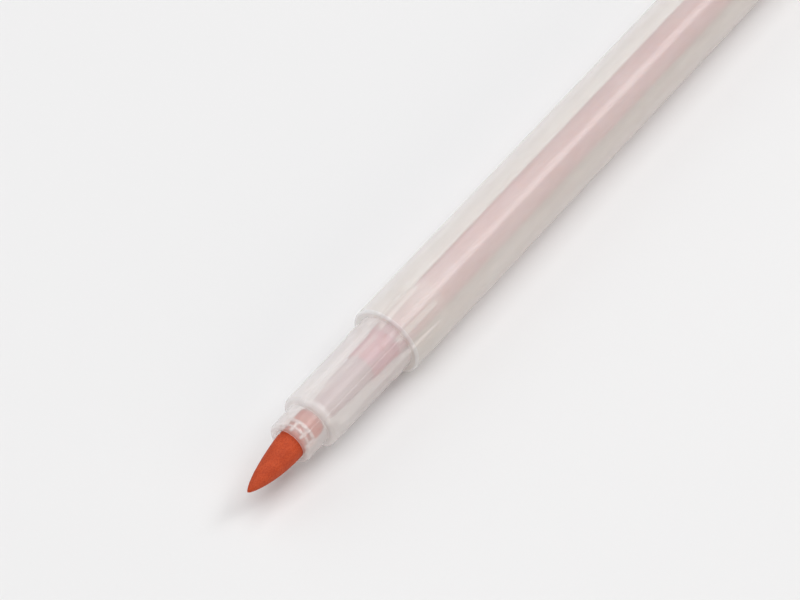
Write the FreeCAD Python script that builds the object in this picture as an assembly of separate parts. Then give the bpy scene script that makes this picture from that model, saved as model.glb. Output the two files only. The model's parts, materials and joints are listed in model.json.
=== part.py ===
import FreeCAD, Part

import math
import os

from FreeCAD import Vector

# A brush pen lying on a table with its cap posted on the tail. Millimetres, +Z up.
# The pen's axis runs along Y. Stations along the pen are counted from the shoulder,
# which is the front face of the barrel: negative towards the tip, positive towards the tail.

# Barrel
BARREL_RADIUS = 5.0
BARREL_BORE = 4.0
BARREL_LENGTH = 98.0
BARREL_RIM_ROUNDING = 0.45

# Front section: nozzle, neck and the sleeve that is pressed into the barrel
NECK_RADIUS = 4.0
NECK_LENGTH = 15.9
NECK_ROUNDING = 0.63
NOZZLE_RADIUS = 3.08
NOZZLE_LENGTH = 3.95
LIP_ROUNDING = 0.5
MOUTH_RADIUS = 2.05
LIP_LENGTH = 0.4
NOZZLE_BORE = 2.35
WEB_START = -15.4
WEB_BORE = 1.95
WEB_END = -13.7
CHAMBER_START = -12.7
CHAMBER_RADIUS = 3.2
SLEEVE_LENGTH = 8.5
SLEEVE_LEAD_IN = 0.4
SNAP_BEAD_CENTRE = -2.2
SNAP_BEAD_LENGTH = 2.4
SNAP_BEAD_HEIGHT = 0.1

# Ribs inside the neck and sleeve, which centre the nib's shank and the reservoir
RIB_COUNT = 6
RIB_THICKNESS = 0.7
RIB_FIRST_ANGLE = 45.0
RIB_TAPER_END = 7.6
RIB_ROOT_DEPTH = 0.3

# Brush nib
NIB_RADIUS = 1.95
NIB_EXPOSED = 8.75
SHANK_RADIUS = 1.88
PIN_RADIUS = 1.1
PIN_END = 2.6
PIN_POINT_LENGTH = 1.6

# Collar that grips the shank inside the nozzle
COLLAR_LENGTH = 1.9
COLLAR_MIDDLE_RING = 0.2
COLLAR_REAR_RING = 0.36
COLLAR_FIRST_ANGLE = 17.4
COLLAR_FINGERS = 9
COLLAR_SLOT_WIDTH = 1.1
COLLAR_GAP = 0.03

# Ink reservoir and the film around it
RESERVOIR_FRONT = -5.1
RESERVOIR_END = 88.5
RESERVOIR_NECK_RADIUS = 2.15
RESERVOIR_RADIUS = 2.36
FILM_FRONT = -0.3
FILM_THICKNESS = 0.12
PIN_HOLE_GAP = 0.03

# Tail plug
TAIL_SLEEVE_LENGTH = 10.0
TAIL_SLEEVE_BORE = 3.1
TAIL_FLANGE = 1.5
TAIL_FLANGE_ROUNDING = 0.15
POST_RADIUS = 4.0
POST_LENGTH = 10.5
POST_ROUNDING = 0.6
POST_WALL = 1.0
TAIL_FIN_COUNT = 4
TAIL_FIN_THICKNESS = 0.7

# Cap
CAP_LENGTH = 37.0
CAP_RADIUS = 5.0
CAP_BORE = 4.05
CAP_RIM_ROUNDING = 0.35
SNAP_GROOVE_DEPTH = 0.12
END_PLUG_HEAD = 1.8
END_PLUG_STEM = 4.2
END_PLUG_ROUNDING = 0.7
PRESS_GAP = 0.02

# Inner seal of the cap, which closes on the nozzle
SEAL_DEPTH = 16.3
SEAL_LENGTH = 14.2
SEAL_SKIRT_LENGTH = 3.9
SEAL_SKIRT_BORE = 3.1
SEAL_BORE = 3.0
SEAL_FLOOR = 0.8
SEAL_MOUTH_CHAMFER = 0.4

# Clip, moulded with the cap
CLIP_HALF_WIDTH = 1.7
CLIP_GAP = 0.8
CLIP_THICKNESS = 1.3
CLIP_ROUNDING = 0.45
CLIP_LENGTH = 31.0
CLIP_ROOT_LENGTH = 4.0
CLIP_NOSE_CENTRE = 2.2
CLIP_NOSE_RADIUS = 1.4
CLIP_NOSE_GAP = 0.15

# Worked out
MOUTH = -(NECK_LENGTH + NOZZLE_LENGTH)
TIP = MOUTH - NIB_EXPOSED
BARREL_END = BARREL_LENGTH
POST_START = BARREL_END + TAIL_FLANGE
POST_END = POST_START + POST_LENGTH
CAP_RIM = POST_START
CAP_END = CAP_RIM + CAP_LENGTH
CAP_SHELL_END = CAP_END - END_PLUG_HEAD
CLIP_OUTER = CAP_RADIUS + CLIP_GAP + CLIP_THICKNESS

AXIS = Vector(0, 1, 0)
CENTRE = Vector(0, 0, 0)

# The cap's clip rests on the table beside the barrel, which stops the pen from rolling.
clip_corner = Vector(CLIP_OUTER - CLIP_ROUNDING, CLIP_HALF_WIDTH - CLIP_ROUNDING, 0)
CLIP_LEAN = math.atan2(clip_corner.y, clip_corner.x) + math.acos(
    (CAP_RADIUS - CLIP_ROUNDING) / clip_corner.Length
)
CLIP_REACH = (
    clip_corner.x * math.sin(CLIP_LEAN) + clip_corner.y * math.cos(CLIP_LEAN) + CLIP_ROUNDING
)

# The origin is under the middle of the whole pen, on the table.
PLACE = Vector((BARREL_RADIUS - CLIP_REACH) / 2, -(TIP + CAP_END) / 2, BARREL_RADIUS)


def at(station, radius):
    return Vector(0, station, radius)


def save(shape, name):
    shape = shape.removeSplitter()
    shape.translate(PLACE)
    if not shape.isValid():
        raise ValueError(name + " is not a valid solid")
    shape.exportStep("parts/" + name + ".step")
    low, high = shape.BoundBox.YMin, shape.BoundBox.YMax
    print(f"{name}: {len(shape.Solids)} solid, {shape.Volume:.1f} mm3, y {low:.2f} to {high:.2f}")


def spin(edges):
    """The solid that a closed outline sweeps in a full turn about the axis."""
    return Part.Face(Part.Wire(edges)).revolve(CENTRE, AXIS, 360)


def lathe(*outline):
    """A turned solid from straight runs between (station, radius) points."""
    points = [at(*p) for p in outline]
    return spin(Part.makePolygon(points + points[:1]).Edges)


def rod(start, end, radius):
    return Part.makeCylinder(radius, end - start, at(start, 0), AXIS)


def tube(start, end, outer, inner):
    return rod(start, end, outer).cut(rod(start, end, inner))


def slab(outline, thickness):
    """A flat plate standing on the axis at the top of the pen, from (station, radius) points."""
    points = [at(*p) for p in outline]
    face = Part.Face(Part.makePolygon(points + points[:1]))
    face.translate(Vector(-thickness / 2, 0, 0))
    return face.extrude(Vector(thickness, 0, 0))


def turned(shape, degrees):
    """A copy turned about the axis, from the top of the pen towards +X."""
    copy = shape.copy()
    copy.rotate(CENTRE, AXIS, degrees)
    return copy


def around(shape, count, first=0.0):
    return [turned(shape, first + 360.0 * i / count) for i in range(count)]


def round_rims(shape, size, *rims):
    """Rounds the circular edges at the given (station, radius) places."""
    chosen = []
    for edge in shape.Edges:
        curve = edge.Curve
        if not isinstance(curve, Part.Circle):
            continue
        for station, radius in rims:
            same_place = abs(curve.Center.y - station) < 1e-4
            if same_place and abs(curve.Radius - radius) < 1e-4:
                chosen.append(edge)
    return shape.makeFillet(size, chosen)


def swelling(centre, length, radius, height):
    """A turned solid whose side bulges out in one shallow arc."""
    start, end = centre - length / 2, centre + length / 2
    bulge = Part.Arc(at(start, radius), at(centre, radius + height), at(end, radius)).toShape()
    base = Part.makePolygon([at(end, radius), at(end, 1), at(start, 1), at(start, radius)])
    return spin([bulge] + base.Edges)


def barrel_tube():
    body = tube(0, BARREL_END, BARREL_RADIUS, BARREL_BORE)
    return round_rims(body, BARREL_RIM_ROUNDING, (0, BARREL_RADIUS))


def front_bore():
    """The stepped hole through the front section, before its ribs."""
    return lathe(
        (MOUTH - 1, 0),
        (MOUTH - 1, MOUTH_RADIUS),
        (MOUTH + LIP_LENGTH, MOUTH_RADIUS),
        (MOUTH + LIP_LENGTH, NOZZLE_BORE),
        (WEB_START, NOZZLE_BORE),
        (WEB_START, WEB_BORE),
        (WEB_END, WEB_BORE),
        (CHAMBER_START, CHAMBER_RADIUS),
        (SLEEVE_LENGTH - SLEEVE_LEAD_IN, CHAMBER_RADIUS),
        (SLEEVE_LENGTH, CHAMBER_RADIUS + SLEEVE_LEAD_IN),
        (SLEEVE_LENGTH + 1, CHAMBER_RADIUS + SLEEVE_LEAD_IN),
        (SLEEVE_LENGTH + 1, 0),
    )


def front_rib():
    """One rib: high at the shank, stepped back for the reservoir, and tapered out at the rear."""
    root = CHAMBER_RADIUS + RIB_ROOT_DEPTH
    return slab(
        [
            (WEB_END - 0.2, root),
            (WEB_END - 0.2, WEB_BORE + 0.05),
            (RESERVOIR_FRONT - 0.2, WEB_BORE + 0.05),
            (RESERVOIR_FRONT - 0.2, RESERVOIR_NECK_RADIUS + 0.03),
            (FILM_FRONT - 0.1, RESERVOIR_NECK_RADIUS + 0.03),
            (FILM_FRONT - 0.1, RESERVOIR_RADIUS + FILM_THICKNESS + 0.03),
            (0, RESERVOIR_RADIUS + FILM_THICKNESS + 0.03),
            (RIB_TAPER_END, CHAMBER_RADIUS),
            (RIB_TAPER_END, root),
        ],
        RIB_THICKNESS,
    )


def front_section():
    neck_front = -NECK_LENGTH
    neck = rod(neck_front, SLEEVE_LENGTH, NECK_RADIUS)
    neck = round_rims(neck, NECK_ROUNDING, (neck_front, NECK_RADIUS))
    nozzle = rod(MOUTH, neck_front + 1, NOZZLE_RADIUS)
    nozzle = round_rims(nozzle, LIP_ROUNDING, (MOUTH, NOZZLE_RADIUS))
    bead = swelling(SNAP_BEAD_CENTRE, SNAP_BEAD_LENGTH, NECK_RADIUS, SNAP_BEAD_HEIGHT)
    body = neck.fuse([nozzle, bead]).removeSplitter().cut(front_bore())
    return body.fuse(around(front_rib(), RIB_COUNT, RIB_FIRST_ANGLE))


def nib_collar():
    """A short cage: two rings joined by fingers, with two rows of windows between them."""
    start = MOUTH + LIP_LENGTH + COLLAR_GAP
    end = start + COLLAR_LENGTH
    outer = NOZZLE_BORE - COLLAR_GAP
    cage = tube(start, end, outer, NIB_RADIUS + COLLAR_GAP)
    window_length = (COLLAR_LENGTH - COLLAR_MIDDLE_RING - COLLAR_REAR_RING) / 2
    for row_start in (start, start + window_length + COLLAR_MIDDLE_RING):
        row_end = row_start + window_length
        window = slab(
            [(row_start, 1), (row_start, outer + 1), (row_end, outer + 1), (row_end, 1)],
            COLLAR_SLOT_WIDTH,
        )
        cage = cage.cut(around(window, COLLAR_FINGERS, COLLAR_FIRST_ANGLE))
    return cage


def brush_nib():
    """A blunt ogive that runs into a straight shank, with a pointed pin inside the reservoir."""
    ogive = Part.BSplineCurve()
    ogive.interpolate(
        [at(TIP, 0), at(TIP + 0.7, 0.5), at(TIP + 3.2, 1.2), at(TIP + 5.7, 1.7), at(MOUTH, NIB_RADIUS)]
    )
    shank = Part.makePolygon(
        [
            at(MOUTH, NIB_RADIUS),
            at(MOUTH + LIP_LENGTH, NIB_RADIUS),
            at(MOUTH + LIP_LENGTH + COLLAR_LENGTH, SHANK_RADIUS),
            at(RESERVOIR_FRONT, SHANK_RADIUS),
            at(RESERVOIR_FRONT, PIN_RADIUS),
            at(PIN_END - PIN_POINT_LENGTH, PIN_RADIUS),
            at(PIN_END, 0.2),
            at(PIN_END, 0),
            at(TIP, 0),
        ]
    )
    return spin([ogive.toShape()] + shank.Edges)


def ink_reservoir():
    hole = PIN_RADIUS + PIN_HOLE_GAP
    return lathe(
        (RESERVOIR_FRONT, hole),
        (RESERVOIR_FRONT, RESERVOIR_NECK_RADIUS),
        (FILM_FRONT, RESERVOIR_NECK_RADIUS),
        (FILM_FRONT, RESERVOIR_RADIUS),
        (RESERVOIR_END, RESERVOIR_RADIUS),
        (RESERVOIR_END, 0),
        (PIN_END + PIN_HOLE_GAP, 0),
        (PIN_END + PIN_HOLE_GAP, 0.2 + PIN_HOLE_GAP),
        (PIN_END - PIN_POINT_LENGTH, hole),
    )


def reservoir_film():
    return tube(FILM_FRONT, RESERVOIR_END, RESERVOIR_RADIUS + FILM_THICKNESS, RESERVOIR_RADIUS)


def tail_plug():
    """A hollow plug: a sleeve inside the barrel, a flush flange, and the post that holds the cap."""
    start = BARREL_END - TAIL_SLEEVE_LENGTH
    sleeve = rod(start, BARREL_END, BARREL_BORE - PRESS_GAP)
    flange = rod(BARREL_END, POST_START, BARREL_RADIUS)
    rims = [(BARREL_END, BARREL_RADIUS), (POST_START, BARREL_RADIUS)]
    flange = round_rims(flange, TAIL_FLANGE_ROUNDING, *rims)
    post = rod(POST_START, POST_END, POST_RADIUS)
    post = round_rims(post, POST_ROUNDING, (POST_END, POST_RADIUS))
    body = sleeve.fuse([flange, post])
    body = body.cut(rod(start, POST_END - POST_WALL, TAIL_SLEEVE_BORE))
    holder = RESERVOIR_RADIUS + FILM_THICKNESS + PIN_HOLE_GAP
    stop = RESERVOIR_END + PIN_HOLE_GAP
    root = TAIL_SLEEVE_BORE + RIB_ROOT_DEPTH
    fin = slab(
        [
            (start, root),
            (start, holder),
            (stop, holder),
            (stop, 1.2),
            (BARREL_END, 1.2),
            (BARREL_END, root),
        ],
        TAIL_FIN_THICKNESS,
    )
    return body.fuse(around(fin, TAIL_FIN_COUNT, 45))


def clip():
    """The clip as it stands on top of the cap: a root, a springy arm, and a nose near the cap."""
    underside = CAP_RADIUS + CLIP_GAP
    start = CAP_SHELL_END - CLIP_LENGTH
    root_start = CAP_SHELL_END - CLIP_ROOT_LENGTH
    arm = Part.makeBox(
        2 * CLIP_HALF_WIDTH, CLIP_LENGTH, CLIP_THICKNESS, Vector(-CLIP_HALF_WIDTH, start, underside)
    )
    outer_edges = []
    for edge in arm.Edges:
        middle = edge.CenterOfMass
        on_top = middle.z > CLIP_OUTER - 1e-4
        on_front_corner = middle.y < start + 1e-4 and abs(middle.x) > CLIP_HALF_WIDTH - 1e-4
        if (on_top and middle.y < CAP_SHELL_END - 1e-4) or on_front_corner:
            outer_edges.append(edge)
    arm = arm.makeFillet(CLIP_ROUNDING, outer_edges)
    root = Part.makeBox(
        2 * CLIP_HALF_WIDTH,
        CLIP_ROOT_LENGTH,
        underside + CLIP_THICKNESS / 2 - CAP_BORE - PRESS_GAP,
        Vector(-CLIP_HALF_WIDTH, root_start, CAP_BORE + PRESS_GAP),
    )
    nose_centre = CAP_RADIUS + CLIP_NOSE_GAP + CLIP_NOSE_RADIUS
    nose = Part.makeCylinder(
        CLIP_NOSE_RADIUS,
        2 * (CLIP_HALF_WIDTH - CLIP_ROUNDING),
        Vector(CLIP_ROUNDING - CLIP_HALF_WIDTH, start + CLIP_NOSE_CENTRE, nose_centre),
        Vector(1, 0, 0),
    )
    above = Part.makeBox(10, 10, 10, Vector(-5, start - 3, underside + CLIP_THICKNESS / 2))
    return arm.fuse([root, nose.cut(above)])


def cap_shell():
    body = rod(CAP_RIM, CAP_SHELL_END, CAP_RADIUS)
    body = round_rims(body, CAP_RIM_ROUNDING, (CAP_RIM, CAP_RADIUS))
    body = body.fuse(turned(clip(), 180 - math.degrees(CLIP_LEAN)))
    groove = swelling(
        CAP_RIM - SNAP_BEAD_CENTRE, SNAP_BEAD_LENGTH, CAP_BORE, SNAP_GROOVE_DEPTH
    )
    bore = rod(CAP_RIM - 1, CAP_SHELL_END + 1, CAP_BORE).fuse(groove)
    return body.cut(bore)


def cap_inner_seal():
    """A cup pressed deep into the cap, with a skirt at its mouth that fits the nozzle."""
    start = CAP_RIM + SEAL_DEPTH
    end = start + SEAL_LENGTH
    outer = CAP_BORE - PRESS_GAP
    return lathe(
        (start, SEAL_SKIRT_BORE + SEAL_MOUTH_CHAMFER),
        (start, outer),
        (end, outer),
        (end, 0),
        (end - SEAL_FLOOR, 0),
        (end - SEAL_FLOOR, SEAL_BORE),
        (start + SEAL_SKIRT_LENGTH, SEAL_BORE),
        (start + SEAL_SKIRT_LENGTH, SEAL_SKIRT_BORE),
        (start + SEAL_MOUTH_CHAMFER, SEAL_SKIRT_BORE),
    )


def cap_end_plug():
    head = rod(CAP_SHELL_END, CAP_END, CAP_RADIUS)
    head = round_rims(head, END_PLUG_ROUNDING, (CAP_END, CAP_RADIUS))
    stem_start = CAP_SHELL_END - END_PLUG_STEM
    stem = tube(stem_start, CAP_SHELL_END, CAP_BORE - PRESS_GAP, CAP_BORE - POST_WALL)
    return head.fuse(stem)


os.makedirs("parts", exist_ok=True)
save(barrel_tube(), "barrel_tube")
save(front_section(), "front_section")
save(nib_collar(), "nib_collar")
save(brush_nib(), "brush_nib")
save(ink_reservoir(), "ink_reservoir")
save(reservoir_film(), "reservoir_film")
save(tail_plug(), "tail_plug")
save(cap_shell(), "cap_shell")
save(cap_inner_seal(), "cap_inner_seal")
save(cap_end_plug(), "cap_end_plug")
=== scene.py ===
import json
import math

import bmesh
import bpy
from mathutils import Matrix, Vector, noise


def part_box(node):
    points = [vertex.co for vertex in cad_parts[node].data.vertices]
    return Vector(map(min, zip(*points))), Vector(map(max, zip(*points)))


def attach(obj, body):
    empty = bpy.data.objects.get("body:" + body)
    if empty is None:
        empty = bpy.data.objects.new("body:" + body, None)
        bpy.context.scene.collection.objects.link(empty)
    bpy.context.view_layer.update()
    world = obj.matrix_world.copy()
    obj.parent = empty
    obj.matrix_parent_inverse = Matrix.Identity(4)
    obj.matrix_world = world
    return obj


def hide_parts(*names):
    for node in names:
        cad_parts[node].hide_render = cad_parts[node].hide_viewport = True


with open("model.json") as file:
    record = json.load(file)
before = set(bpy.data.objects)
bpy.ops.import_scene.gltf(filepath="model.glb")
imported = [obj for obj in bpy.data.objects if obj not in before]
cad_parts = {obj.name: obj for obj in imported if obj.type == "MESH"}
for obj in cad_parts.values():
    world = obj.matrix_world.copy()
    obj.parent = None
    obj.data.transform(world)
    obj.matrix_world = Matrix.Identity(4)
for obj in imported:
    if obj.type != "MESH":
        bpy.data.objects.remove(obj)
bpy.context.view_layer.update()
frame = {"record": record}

bl_info = {
    "name": "Translucent Brush Pen",
    "version": (1, 0, 0),
    "blender": (4, 5, 0),
    "location": "View3D > Sidebar > Brush Pen",
    "description": "Builds a frosted brush pen, its cap and a plain table around a fixed frame",
    "category": "Object",
}

MM = 0.001
BARREL_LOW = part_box("barrel_tube")[0]
CAP_LOW, CAP_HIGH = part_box("cap_shell")
PLUG_LOW, PLUG_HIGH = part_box("cap_end_plug")
TAIL_LOW, TAIL_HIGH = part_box("tail_plug")
SEAL_LOW, SEAL_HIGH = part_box("cap_inner_seal")
FRONT_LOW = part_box("front_section")[0]
NIB_LOW, NIB_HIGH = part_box("brush_nib")
COLLAR_LOW, COLLAR_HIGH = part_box("nib_collar")
RESERVOIR_LOW, RESERVOIR_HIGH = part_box("ink_reservoir")
FILM_LOW, FILM_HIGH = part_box("reservoir_film")
MOUNTS = {mount["name"]: mount for mount in frame["record"]["mounts"]}

BARREL_RADIUS = MOUNTS["barrel_grip"]["dims"]["r_mm"] * MM
NECK_RADIUS = MOUNTS["neck_seat"]["dims"]["r_mm"] * MM
AXIS_X = MOUNTS["barrel_grip"]["pos_m"][0]
AXIS_Z = MOUNTS["barrel_grip"]["pos_m"][2]
SHOULDER = BARREL_LOW.y
MOUTH = FRONT_LOW.y

FLANGE = 1.5 * MM
SEAM = 0.02 * MM
FIT_GAP = 0.03 * MM
FINE_EDGE = 0.08 * MM
MOUTH_EDGE = 0.14 * MM
PIN_TIP = 0.2 * MM
RIB_CHAMFER = 0.12 * MM
RIB_SIDES = 6
ROUND_STEPS = 6
ON_AXIS = 1e-7
TABLE_HALF_WIDTH = 1.5
TURN = 2 * math.pi


# ---------------------------------------------------------------- properties


def length(name, description, millimetres):
    return bpy.props.FloatProperty(
        name=name, description=description, default=millimetres * MM, min=0.0,
        precision=5, unit="LENGTH",
    )


def angle(name, description, degrees):
    return bpy.props.FloatProperty(
        name=name, description=description, default=math.radians(degrees), unit="ROTATION",
    )


def number(name, description, default):
    return bpy.props.FloatProperty(name=name, description=description, default=default)


def count(name, description, default):
    return bpy.props.IntProperty(name=name, description=description, default=default, min=1)


def colour(name, description, *rgb):
    return bpy.props.FloatVectorProperty(
        name=name, description=description, default=rgb, size=3, min=0.0, max=1.0, subtype="COLOR",
    )


class BarrelSizes(bpy.types.PropertyGroup):
    """The barrel tube."""

    bore: length("Bore", "Radius of the hole through the barrel", 4.0)
    rim: length("Rim rounding", "Rounding of the front rim's outer edge", 0.35)
    segments: count("Segments", "Facets round each turned piece", 144)


class FrontSizes(bpy.types.PropertyGroup):
    """The nozzle, neck and sleeve, which are one moulding."""

    neck_length: length("Neck length", "From the shoulder to the front of the neck", 15.9)
    neck_rounding: length("Neck rounding", "Rounding of the neck's front edge", 0.63)
    nozzle_radius: length("Nozzle radius", "Outer radius of the nozzle", 3.08)
    lip_rounding: length("Lip rounding", "Rounding of the nozzle's lip", 0.5)
    mouth: length("Mouth radius", "Radius of the hole that the nib comes out of", 2.1)
    lip: length("Lip length", "Depth of the mouth before the bore widens", 0.4)
    nozzle_bore: length("Nozzle bore", "Radius of the bore that holds the collar", 2.35)
    web_start: length("Web start", "Front of the web, ahead of the shoulder", 15.4)
    web_end: length("Web end", "Rear of the web, ahead of the shoulder", 13.7)
    web_bore: length("Web bore", "Radius of the hole through the web", 1.95)
    chamber_start: length("Chamber start", "Where the chamber is full width", 12.7)
    chamber: length("Chamber radius", "Radius of the ribbed chamber", 3.2)
    sleeve: length("Sleeve length", "How far the sleeve goes into the barrel", 8.5)
    lead_in: length("Lead-in", "Chamfer at the sleeve's rear end", 0.4)
    bead_centre: length("Bead centre", "Middle of the snap bead, ahead of the shoulder", 2.2)
    bead_length: length("Bead length", "Length of the snap bead", 2.4)
    bead_height: length("Bead height", "Height of the snap bead", 0.1)
    ribs: count("Ribs", "Ribs inside the neck and sleeve", 6)
    rib_angle: angle("First rib", "Turn of the first rib from the top, towards +X", 45.0)
    rib_width: length("Rib width", "Thickness of a rib", 0.7)
    rib_taper: length("Rib taper", "Where the ribs run out, behind the shoulder", 7.6)
    gap_steps: count("Gap steps", "Facets between two ribs", 26)


class NibSizes(bpy.types.PropertyGroup):
    """The brush nib and its collar."""

    radius: length("Radius", "Radius of the nib at the mouth", 1.95)
    fullness: number("Fullness", "How soon the point grows to full width", 1.62)
    bluntness: number("Bluntness", "Power of the point's outline", 0.69)
    shank: length("Shank radius", "Radius of the shank inside the neck", 1.9)
    waist: length("Waist radius", "Radius of the shank's waist", 1.5)
    waist_place: length("Waist place", "Waist behind the mouth", 6.0)
    waist_length: length("Waist length", "How far the waist takes to run out behind", 5.4)
    pin: length("Pin radius", "Radius of the pin in the reservoir", 1.1)
    pin_point: length("Pin point", "Length of the pin's pointed end", 1.6)
    lean: length("Lean", "How far the nib's point leans aside", 0.34)
    lean_start: length("Lean start", "Where the lean starts, behind the mouth", 6.0)
    lean_side: angle("Lean side", "Side it leans to, turned from the top towards +X", 115.4)
    collar_middle: length("Collar middle ring", "Width of the ring between the rows of windows", 0.2)
    collar_rear: length("Collar rear ring", "Width of the collar's rear ring", 0.36)
    collar_wall: length("Collar wall", "Wall of the collar", 0.2)
    collar_turn: angle("Collar turn", "Turn of the first window from the top, towards +X", 1.4)
    windows: count("Collar windows", "Windows in each row of the collar", 9)


class ReservoirSizes(bpy.types.PropertyGroup):
    """The ink reservoir and its film."""

    neck_radius: length("Neck radius", "Radius where the neck squeezes it", 2.15)
    radius: length("Radius", "Radius of the fibre rod", 2.36)
    film: length("Film", "Thickness of the film", 0.12)
    hole_gap: length("Hole gap", "Clearance round the nib's pin", 0.03)


class TailSizes(bpy.types.PropertyGroup):
    """The plug that closes the barrel and holds the posted cap."""

    sleeve_bore: length("Sleeve bore", "Radius of the plug's hollow", 3.1)
    flange_rounding: length("Flange rounding", "Rounding of the flange's edges", 0.15)
    post: length("Post radius", "Radius of the post", 4.0)
    post_length: length("Post length", "Length of the post", 10.5)
    post_rounding: length("Post rounding", "Rounding of the post's end", 0.6)
    floor: length("Floor", "Thickness of the post's end wall", 1.0)
    fins: count("Fins", "Fins that hold the reservoir", 4)
    fin_width: length("Fin width", "Thickness of a fin", 0.7)


class CapSizes(bpy.types.PropertyGroup):
    """The cap, its clip, its inner seal and its end plug."""

    bore: length("Bore", "Radius of the cap's bore", 4.05)
    rim: length("Rim rounding", "Rounding of the cap's rim", 0.35)
    groove: length("Groove depth", "Depth of the snap groove", 0.12)
    clip_half_width: length("Clip half width", "Half the clip's width", 1.7)
    clip_gap: length("Clip gap", "Gap between clip and cap", 0.8)
    clip_thickness: length("Clip thickness", "Thickness of the clip's arm", 1.3)
    clip_rounding: length("Clip rounding", "Rounding of the clip's outer edges", 0.45)
    clip_length: length("Clip length", "Length of the clip", 31.0)
    clip_root: length("Clip root", "Length of the clip's root", 4.0)
    nose_centre: length("Nose centre", "Nose behind the clip's free end", 2.2)
    nose_radius: length("Nose radius", "Radius of the clip's nose", 1.4)
    nose_gap: length("Nose gap", "Gap between the nose and the cap", 0.15)
    skirt: length("Skirt length", "Length of the sealing skirt", 3.9)
    skirt_bore: length("Skirt bore", "Radius inside the sealing skirt", 3.1)
    seal_bore: length("Seal bore", "Radius inside the seal", 3.0)
    seal_floor: length("Seal floor", "Thickness of the seal's end", 0.8)
    seal_chamfer: length("Seal chamfer", "Chamfer at the seal's mouth", 0.4)
    plug_head: length("Plug head", "Thickness of the end plug's head", 1.8)
    plug_rounding: length("Plug rounding", "Rounding of the end plug's head", 0.7)
    plug_wall: length("Plug wall", "Wall of the end plug's stem", 1.0)


class PenColours(bpy.types.PropertyGroup):
    """Colours, as light reflected in linear red, green and blue."""

    body: colour("Body", "Frosted body plastic", 0.985, 0.915, 0.855)
    neck: colour("Neck", "Clearer plastic of the nozzle and neck", 0.95, 0.89, 0.865)
    collar: colour("Collar", "Collar and tail plastic", 0.96, 0.93, 0.91)
    # Painted highlight: this whiter colour, on a denser plastic, brightens the rounded rims and the lip's
    # edge.
    edge: colour("Edge", "Moulded edges, where light gathers", 0.98, 0.97, 0.96)
    seal: colour("Seal", "Soft plastic of the inner seal", 0.88, 0.87, 0.84)
    ink: colour("Ink", "The nib, soaked in ink", 0.50, 0.066, 0.018)
    ink_pale: colour("Pale ink", "Ink on raised fibres", 0.62, 0.13, 0.06)
    ink_dark: colour("Dark ink", "Ink pooled between fibres", 0.27, 0.028, 0.012)
    shank: colour("Shank", "The nib's shank inside the neck", 0.38, 0.235, 0.265)
    reservoir: colour("Reservoir", "The fibre rod", 0.44, 0.12, 0.20)
    reservoir_pale: colour("Reservoir pale", "Drier fibres of the rod", 0.55, 0.24, 0.34)
    film: colour("Film", "The film round the rod", 0.93, 0.86, 0.86)
    floor: colour("Floor", "The table", 0.795, 0.795, 0.80)


class PenStage(bpy.types.PropertyGroup):
    """Table, light and camera."""

    azimuth: angle("Azimuth", "Camera's turn about the pen, 0 looking along +Y", 36.58)
    elevation: angle("Elevation", "Camera's height above the horizon", 51.49)
    distance: length("Distance", "Camera's distance from its target", 600.0)
    lens: number("Lens", "Focal length in millimetres", 215.7)
    aim_right: length("Aim right", "Target, to the right of the shoulder", 1.84)
    aim_up: length("Aim up", "Target, above the shoulder in the picture", 5.3)
    ambient: number("Ambient", "Strength of the even light all round", 0.17)
    strip: number("Strip", "Watts of the bright softbox behind the pen", 2.1)
    panel: number("Panel", "Watts of the large panel overhead", 8.2)
    left_fill: number("Left fill", "Watts of the low softbox on the left", 3.4)
    warmth: colour("Warmth", "Tint of the low reflector on the right", 1.0, 0.90, 0.80)
    right_fill: number("Right fill", "Watts of the low reflector on the right", 3.4)


PROPERTY_GROUPS = {
    "pen_barrel": BarrelSizes,
    "pen_front": FrontSizes,
    "pen_nib": NibSizes,
    "pen_reservoir": ReservoirSizes,
    "pen_tail": TailSizes,
    "pen_cap": CapSizes,
    "pen_colours": PenColours,
    "pen_stage": PenStage,
}


# ---------------------------------------------------------------- shader nodes


def add(tree, kind, inputs=None, **settings):
    """A new node with its settings and unlinked input values. Values that are sockets are linked."""
    made = tree.nodes.new(kind)
    for name, value in settings.items():
        setattr(made, name, value)
    for key, value in (inputs or {}).items():
        if isinstance(value, bpy.types.NodeSocket):
            tree.links.new(value, made.inputs[key])
        else:
            made.inputs[key].default_value = value
    return made


def maths(tree, operation, first, second):
    return add(tree, "ShaderNodeMath", {0: first, 1: second}, operation=operation).outputs[0]


def scaled(tree, value, factor, offset):
    """A value times a factor, plus an offset."""
    inputs = {0: value, 1: factor, 2: offset}
    return add(tree, "ShaderNodeMath", inputs, operation="MULTIPLY_ADD").outputs[0]


def ramp(tree, value, low, high, start, end):
    """Carries a value from the range low..high smoothly to start..end."""
    made = add(
        tree, "ShaderNodeMapRange",
        {"Value": value, "From Min": low, "From Max": high, "To Min": start, "To Max": end},
        interpolation_type="SMOOTHSTEP",
    )
    return made.outputs["Result"]


def blend(tree, factor, first, second):
    """Mixes two colours, given as sockets or as red, green and blue."""
    made = add(tree, "ShaderNodeMix", data_type="RGBA")
    for index, value in ((0, factor), (6, first), (7, second)):
        if isinstance(value, bpy.types.NodeSocket):
            tree.links.new(value, made.inputs[index])
        elif index:
            made.inputs[index].default_value = (*value, 1.0)
        else:
            made.inputs[index].default_value = value
    return made.outputs[2]


def grain(tree, vector, scale, detail=2.0, roughness=0.5):
    made = add(
        tree, "ShaderNodeTexNoise",
        {"Vector": vector, "Scale": scale, "Detail": detail, "Roughness": roughness},
    )
    return made.outputs["Fac"]


def stretched(tree, vector, along):
    """Coordinates squeezed along the pen, so that a texture stretches that way."""
    return add(tree, "ShaderNodeMapping", {"Vector": vector, "Scale": (1.0, along, 1.0)}).outputs[0]


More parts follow.
